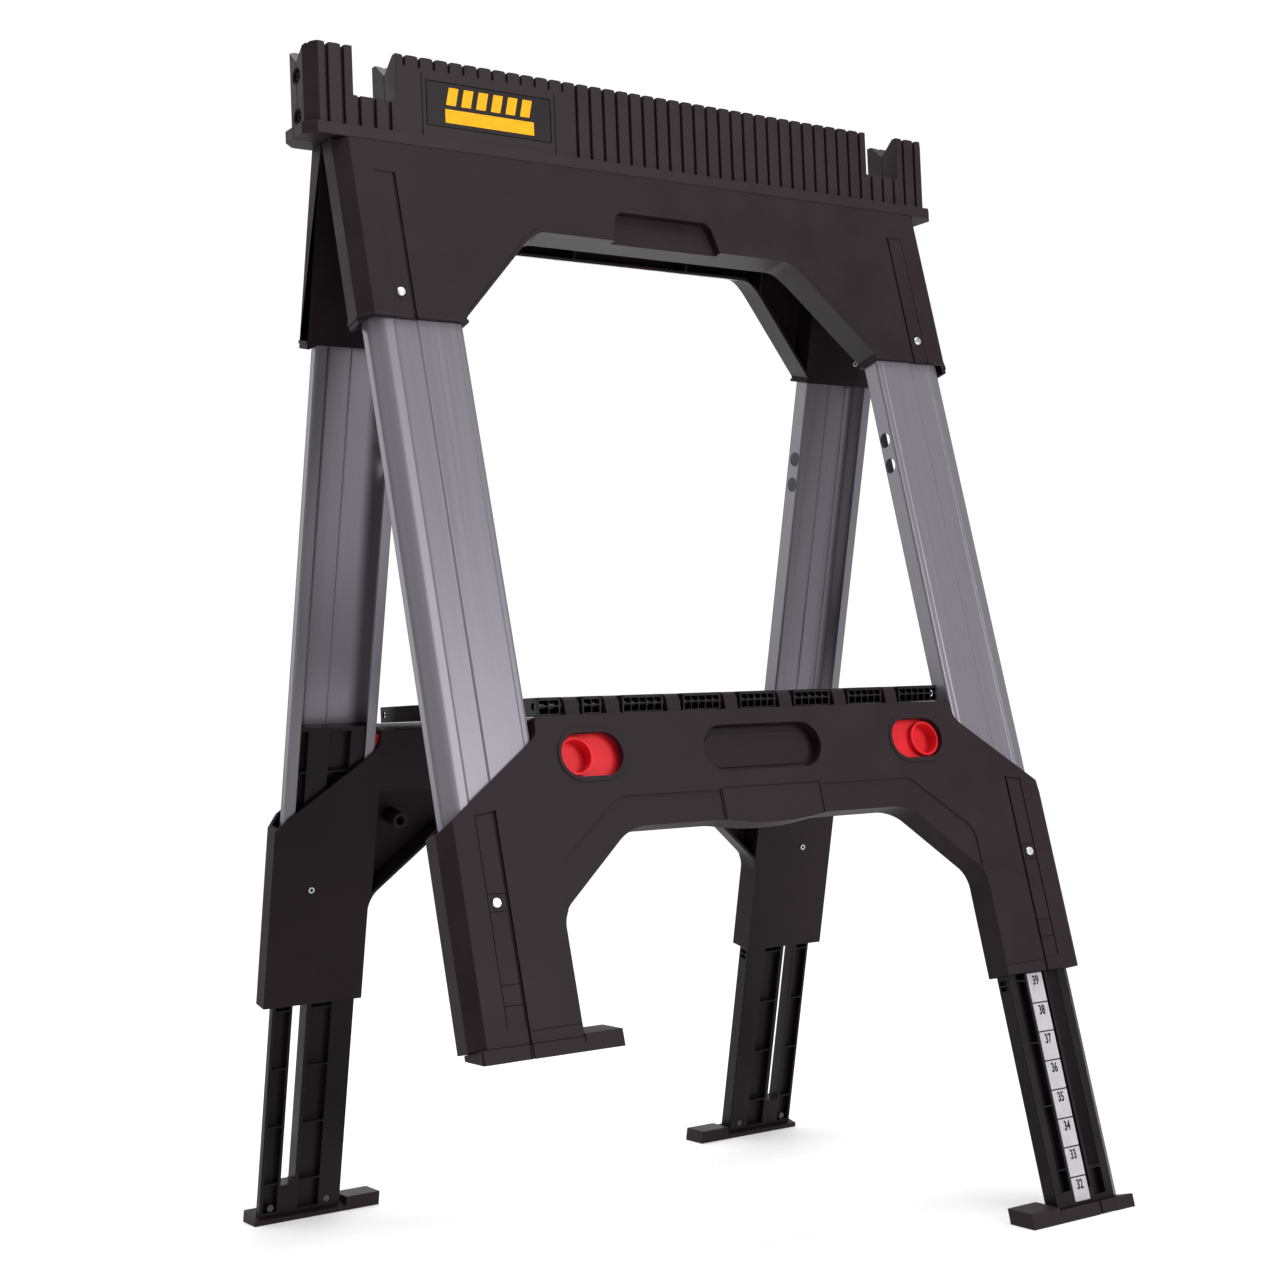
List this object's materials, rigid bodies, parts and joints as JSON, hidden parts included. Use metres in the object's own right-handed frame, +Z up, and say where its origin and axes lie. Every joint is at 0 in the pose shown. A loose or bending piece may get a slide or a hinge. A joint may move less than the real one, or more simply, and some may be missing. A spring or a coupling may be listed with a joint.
{
  "type": "folding sawhorse",
  "caption": "Folding sawhorse with a notched, V-grooved top beam, hinged leg frames, sliding adjustable legs with finger latches and a folding tray.",
  "frame": {"origin": "centre of the footprint on the floor", "axes": "+X along the beam, -Y towards the badge side, +Z up"},
  "size_m": [0.67, 0.5014, 0.9915],
  "materials": {
    "black_plastic": "fine grained, satin",
    "leg_paint": "grey powder coat",
    "red_plastic": "satin",
    "zinc": "zinc plated",
    "steel": "plated",
    "label": "printed label",
    "badge": "satin"
  },
  "bodies": {
    "beam": {"badge_plate": "badge", "beam_front_shell": "black_plastic", "beam_rear_shell": "black_plastic", "beam_screw_left_low": "steel", "beam_screw_left_top": "steel", "beam_screw_right_low": "steel", "beam_screw_right_top": "steel", "hinge_pin": "steel"},
    "front_frame": {"bracket_lower_front": "black_plastic", "bracket_upper_front": "black_plastic", "latch_spring_fl": "steel", "latch_spring_fr": "steel", "leg_fl": "leg_paint", "leg_fr": "leg_paint", "rivet_lower_fl": "zinc", "rivet_lower_fr": "zinc", "rivet_upper_fl": "zinc", "rivet_upper_fr": "zinc", "tray_pin_front": "steel"},
    "tray_front": {"tray_panel_front": "black_plastic"},
    "rear_frame": {"bracket_lower_rear": "black_plastic", "bracket_upper_rear": "black_plastic", "latch_spring_rl": "steel", "latch_spring_rr": "steel", "leg_rl": "leg_paint", "leg_rr": "leg_paint", "rivet_lower_rl": "zinc", "rivet_lower_rr": "zinc", "rivet_upper_rl": "zinc", "rivet_upper_rr": "zinc", "tray_pin_rear": "steel"},
    "tray_rear": {"tray_panel_rear": "black_plastic"},
    "extension_front_left": {"extension_fl": "black_plastic", "foot_fl": "black_plastic", "foot_screw_inner_fl": "steel", "foot_screw_outer_fl": "steel", "scale_strip_fl": "label"},
    "latch_front_left": {"latch_fl": "red_plastic"},
    "extension_front_right": {"extension_fr": "black_plastic", "foot_fr": "black_plastic", "foot_screw_inner_fr": "steel", "foot_screw_outer_fr": "steel", "scale_strip_fr": "label"},
    "latch_front_right": {"latch_fr": "red_plastic"},
    "extension_rear_left": {"extension_rl": "black_plastic", "foot_rl": "black_plastic", "foot_screw_inner_rl": "steel", "foot_screw_outer_rl": "steel", "scale_strip_rl": "label"},
    "latch_rear_left": {"latch_rl": "red_plastic"},
    "extension_rear_right": {"extension_rr": "black_plastic", "foot_rr": "black_plastic", "foot_screw_inner_rr": "steel", "foot_screw_outer_rr": "steel", "scale_strip_rr": "label"},
    "latch_rear_right": {"latch_rr": "red_plastic"}
  },
  "joints": [
    {"name": "fold", "type": "hinge", "parent": "beam", "child": "front_frame", "pos_m": [0, 0, 0.905], "axis": [1, 0, 0], "range_deg": [0, 13.65]},
    {"name": "rear_fold", "type": "hinge", "parent": "beam", "child": "rear_frame", "pos_m": [0, 0, 0.905], "axis": [1, 0, 0], "range_deg": [-13.65, 0]},
    {"name": "tray_front_fold", "type": "hinge", "parent": "front_frame", "child": "tray_front", "pos_m": [0, -0.128, 0.4495], "axis": [1, 0, 0], "range_deg": [0, 70.9]},
    {"name": "tray_rear_fold", "type": "hinge", "parent": "rear_frame", "child": "tray_rear", "pos_m": [0, 0.128, 0.4495], "axis": [1, 0, 0], "range_deg": [-70.9, 0]},
    {"name": "extend_front_left", "type": "slide", "parent": "front_frame", "child": "extension_front_left", "axis": [0, -0.236, -0.9718], "range_m": [0, 0.1982]},
    {"name": "extend_front_right", "type": "slide", "parent": "front_frame", "child": "extension_front_right", "axis": [0, -0.236, -0.9718], "range_m": [-0.1982, 0]},
    {"name": "extend_rear_left", "type": "slide", "parent": "rear_frame", "child": "extension_rear_left", "axis": [0, 0.236, -0.9718], "range_m": [-0.1982, 0]},
    {"name": "extend_rear_right", "type": "slide", "parent": "rear_frame", "child": "extension_rear_right", "axis": [0, 0.236, -0.9718], "range_m": [-0.1982, 0]},
    {"name": "release_front_left", "type": "slide", "parent": "front_frame", "child": "latch_front_left", "axis": [1, 0, 0], "range_m": [0, 0.015], "stiffness_N_per_m": 100, "springref_m": -0.01, "deforming": ["latch_spring_fl"]},
    {"name": "release_front_right", "type": "slide", "parent": "front_frame", "child": "latch_front_right", "axis": [-1, 0, 0], "range_m": [0, 0.015], "stiffness_N_per_m": 100, "springref_m": -0.01, "deforming": ["latch_spring_fr"]},
    {"name": "release_rear_left", "type": "slide", "parent": "rear_frame", "child": "latch_rear_left", "axis": [1, 0, 0], "range_m": [0, 0.015], "stiffness_N_per_m": 100, "springref_m": -0.01, "deforming": ["latch_spring_rl"]},
    {"name": "release_rear_right", "type": "slide", "parent": "rear_frame", "child": "latch_rear_right", "axis": [-1, 0, 0], "range_m": [0, 0.015], "stiffness_N_per_m": 100, "springref_m": -0.01, "deforming": ["latch_spring_rr"]}
  ],
  "couplings": [
    {"joint": "rear_fold", "follows": "fold", "ratio": -1},
    {"joint": "tray_front_fold", "follows": "fold", "ratio": 5.19},
    {"joint": "tray_rear_fold", "follows": "fold", "ratio": -5.19}
  ]
}
